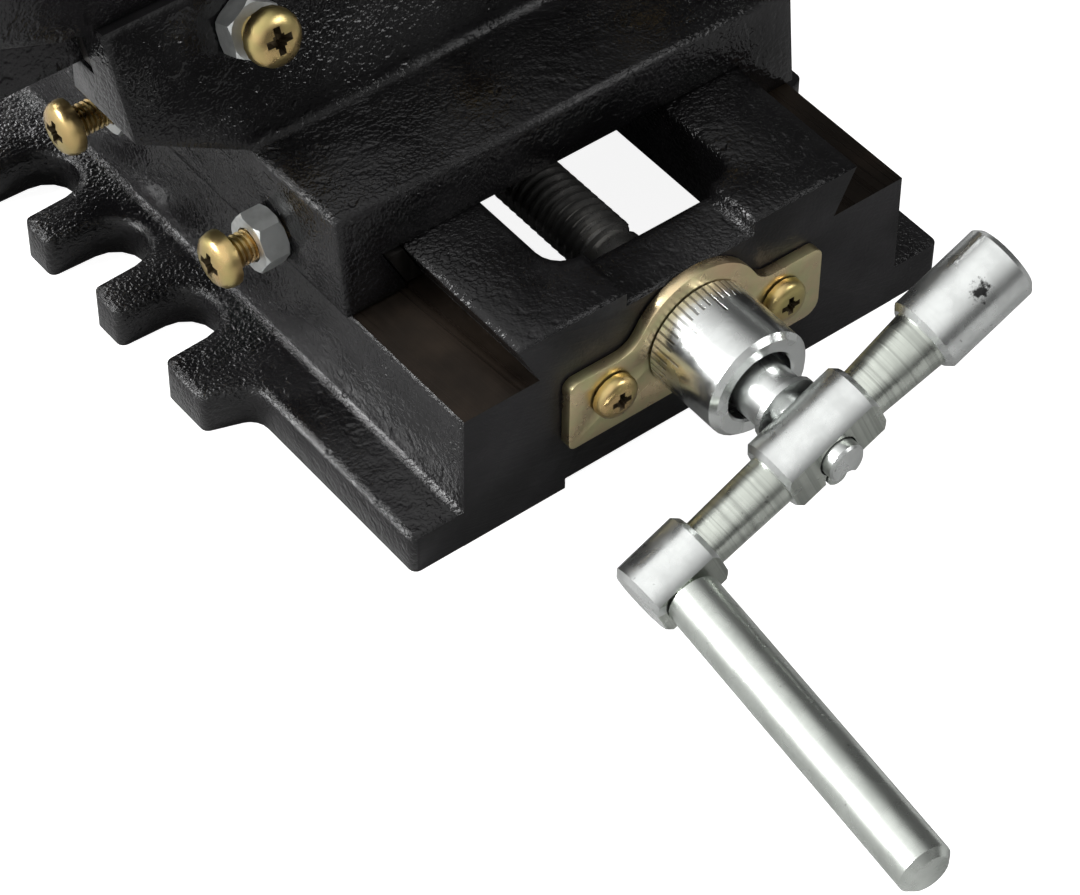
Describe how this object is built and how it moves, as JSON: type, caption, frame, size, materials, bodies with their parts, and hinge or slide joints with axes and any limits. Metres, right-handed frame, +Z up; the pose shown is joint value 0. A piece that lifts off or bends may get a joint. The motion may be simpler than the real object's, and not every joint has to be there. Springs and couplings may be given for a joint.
{
  "type": "cross slide vise",
  "caption": "Compound drill press vise: dovetail base with slotted flange, saddle, cross-sliding bed with jaws, graduated dials and turned cranks.",
  "frame": {"origin": "bottom middle of the whole vise's box, on the plane of the table it stands on", "axes": "+Y from the front feed crank towards the back, along the saddle's travel; +X to the right, along the jaws' travel; +Z up"},
  "size_m": [0.393, 0.2846, 0.1458],
  "materials": {
    "black_paint": "glossy black paint over a sand-cast skin, worn on the machined ways",
    "yellow_zinc": "yellow passivated zinc plate",
    "bright_zinc": "bright zinc plate over turned steel",
    "black_steel": "oiled black oxide",
    "nut_iron": "machined grey iron",
    "gib_steel": "milled and oiled steel strip",
    "ground_steel": "ground hardened steel"
  },
  "bodies": {
    "base": {"base": "black_paint", "y_retaining_plate": "yellow_zinc", "y_plate_screw_left": "yellow_zinc", "y_plate_screw_right": "yellow_zinc"},
    "y_drive": {"y_screw": "black_steel", "y_dial": "bright_zinc", "y_crank": "bright_zinc", "y_crank_key": "bright_zinc", "y_handle": "bright_zinc"},
    "saddle": {"saddle": "black_paint", "y_gib": "gib_steel", "x_gib": "gib_steel", "y_nut": "nut_iron", "y_nut_screw": "black_steel", "x_nut": "nut_iron", "x_nut_screw": "black_steel", "y_gib_screw_1": "yellow_zinc", "y_gib_screw_2": "yellow_zinc", "y_gib_screw_3": "yellow_zinc", "y_gib_locknut_1": "bright_zinc", "y_gib_locknut_2": "bright_zinc", "y_gib_locknut_3": "bright_zinc", "x_gib_screw_1": "yellow_zinc", "x_gib_screw_2": "yellow_zinc", "x_gib_screw_3": "yellow_zinc", "x_gib_locknut_1": "bright_zinc", "x_gib_locknut_2": "bright_zinc", "x_gib_locknut_3": "bright_zinc"},
    "bed": {"vise_bed": "black_paint", "fixed_jaw_plate": "ground_steel", "fixed_jaw_plate_screw_front": "black_steel", "fixed_jaw_plate_screw_back": "black_steel", "x_retaining_plate": "yellow_zinc", "x_plate_screw_left": "yellow_zinc", "x_plate_screw_right": "yellow_zinc"},
    "x_drive": {"x_screw": "black_steel", "x_dial": "bright_zinc", "x_crank": "bright_zinc", "x_crank_key": "bright_zinc", "x_handle": "bright_zinc"},
    "jaw": {"moving_jaw": "black_paint", "jaw_keeper": "ground_steel", "keeper_screw_left": "black_steel", "keeper_screw_right": "black_steel", "moving_jaw_plate": "ground_steel", "moving_jaw_plate_screw_front": "black_steel", "moving_jaw_plate_screw_back": "black_steel", "jaw_retaining_plate": "yellow_zinc", "jaw_plate_screw_left": "yellow_zinc", "jaw_plate_screw_right": "yellow_zinc"},
    "jaw_drive": {"jaw_screw": "black_steel", "jaw_crank": "bright_zinc", "jaw_crank_key": "bright_zinc", "jaw_handle": "bright_zinc"}
  },
  "joints": [
    {"name": "y_screw_turn", "type": "hinge", "parent": "base", "child": "y_drive", "pos_m": [0.0001, -0.03768, 0.0242], "axis": [0, 1, 0], "range_deg": [-5401, 7201]},
    {"name": "saddle_slide", "type": "slide", "parent": "base", "child": "saddle", "axis": [0, 1, 0], "range_m": [-0.03, 0.04]},
    {"name": "bed_slide", "type": "slide", "parent": "saddle", "child": "bed", "axis": [1, 0, 0], "range_m": [-0.036, 0.036]},
    {"name": "x_screw_turn", "type": "hinge", "parent": "bed", "child": "x_drive", "pos_m": [-0.0919, 0.07316, 0.0822], "axis": [1, 0, 0], "range_deg": [-6481, 6481]},
    {"name": "jaw_slide", "type": "slide", "parent": "bed", "child": "jaw", "axis": [1, 0, 0], "range_m": [-0.0294, 0.038]},
    {"name": "jaw_screw_turn", "type": "hinge", "parent": "jaw", "child": "jaw_drive", "pos_m": [0.0117, 0.07316, 0.122], "axis": [-1, 0, 0], "range_deg": [-4561, 3529]}
  ],
  "couplings": [
    {"joint": "y_screw_turn", "follows": "saddle_slide", "rad_per_m": 3141.6},
    {"joint": "x_screw_turn", "follows": "bed_slide", "rad_per_m": 3141.6},
    {"joint": "jaw_screw_turn", "follows": "jaw_slide", "rad_per_m": -2094.4}
  ]
}
